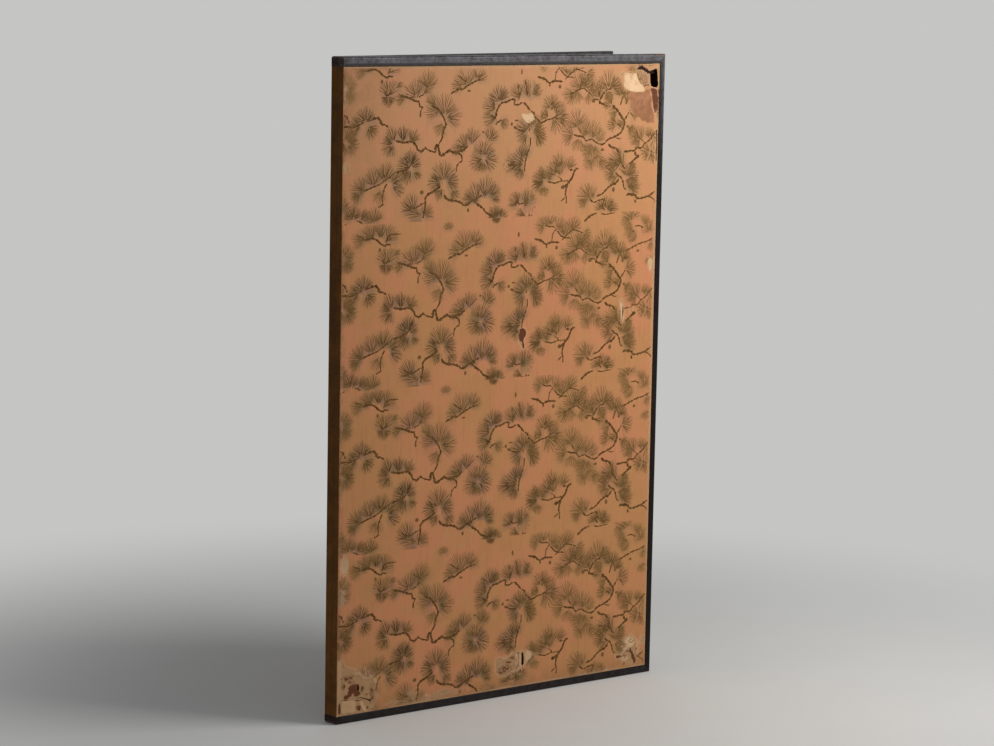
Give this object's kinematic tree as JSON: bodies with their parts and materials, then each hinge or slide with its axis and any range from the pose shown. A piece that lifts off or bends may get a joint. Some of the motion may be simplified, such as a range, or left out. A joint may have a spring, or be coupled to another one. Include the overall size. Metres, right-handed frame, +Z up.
{
  "type": "folding screen",
  "caption": "Low folding screen: lacquer-framed panels with pine-spray printed paper backs, joined at one fold by paper hinges, standing in a narrow V.",
  "frame": {"origin": "on the floor, at the middle of the box round the standing screen", "axes": "+Z up the panels, -Y the way the V opens, with the fold towards +Y; the left and right panels are named as seen from the front, looking along +Y"},
  "size_m": [0.2014, 0.9478, 1.53],
  "materials": {
    "cedar": "planed, unfinished",
    "black_lacquer": "black lacquer, worn gloss",
    "iron": "dark forged",
    "kozo_paper": "matt, fibrous",
    "printed_paper": "matt terracotta, printed with pine sprays",
    "leafed_paper": "aged gold leaf squares",
    "border_silk": "plain aged silk",
    "hinge_paper": "matt dark brown"
  },
  "bodies": {
    "left_panel": {"left_back_sheet_1a": "printed_paper", "left_back_sheet_1b": "printed_paper", "left_back_sheet_2a": "printed_paper", "left_back_sheet_2b": "printed_paper", "left_back_sheet_3a": "printed_paper", "left_back_sheet_3b": "printed_paper", "left_back_sheet_4a": "printed_paper", "left_back_sheet_4b": "printed_paper", "left_back_underpaper": "kozo_paper", "left_bottom_rail": "black_lacquer", "left_core_bottom_rail": "cedar", "left_core_fold_stile": "cedar", "left_core_free_stile": "cedar", "left_core_top_rail": "cedar", "left_fold_edge_strips": "hinge_paper", "left_frame_pins": "iron", "left_front_border_bottom": "border_silk", "left_front_border_fold": "border_silk", "left_front_border_free": "border_silk", "left_front_border_top": "border_silk", "left_front_ground": "leafed_paper", "left_front_underpaper": "kozo_paper", "left_hinge_leaves": "hinge_paper", "left_hinge_tabs": "hinge_paper", "left_lattice_crossbars": "cedar", "left_lattice_uprights": "cedar", "left_side_stile": "black_lacquer", "left_top_rail": "black_lacquer"},
    "right_panel": {"right_back_sheet_1a": "printed_paper", "right_back_sheet_1b": "printed_paper", "right_back_sheet_2a": "printed_paper", "right_back_sheet_2b": "printed_paper", "right_back_sheet_3a": "printed_paper", "right_back_sheet_3b": "printed_paper", "right_back_sheet_4a": "printed_paper", "right_back_sheet_4b": "printed_paper", "right_back_underpaper": "kozo_paper", "right_bottom_rail": "black_lacquer", "right_core_bottom_rail": "cedar", "right_core_fold_stile": "cedar", "right_core_free_stile": "cedar", "right_core_top_rail": "cedar", "right_fold_edge_strips": "hinge_paper", "right_frame_pins": "iron", "right_front_border_bottom": "border_silk", "right_front_border_fold": "border_silk", "right_front_border_free": "border_silk", "right_front_border_top": "border_silk", "right_front_ground": "leafed_paper", "right_front_underpaper": "kozo_paper", "right_hinge_leaves": "hinge_paper", "right_hinge_tabs": "hinge_paper", "right_lattice_crossbars": "cedar", "right_lattice_uprights": "cedar", "right_side_stile": "black_lacquer", "right_top_rail": "black_lacquer"}
  },
  "joints": [
    {"name": "fold_hinge", "type": "hinge", "parent": "left_panel", "child": "right_panel", "pos_m": [0, 0.47232, 0.765], "axis": [0, 0, 1], "range_deg": [-9.6, 170.4]}
  ]
}
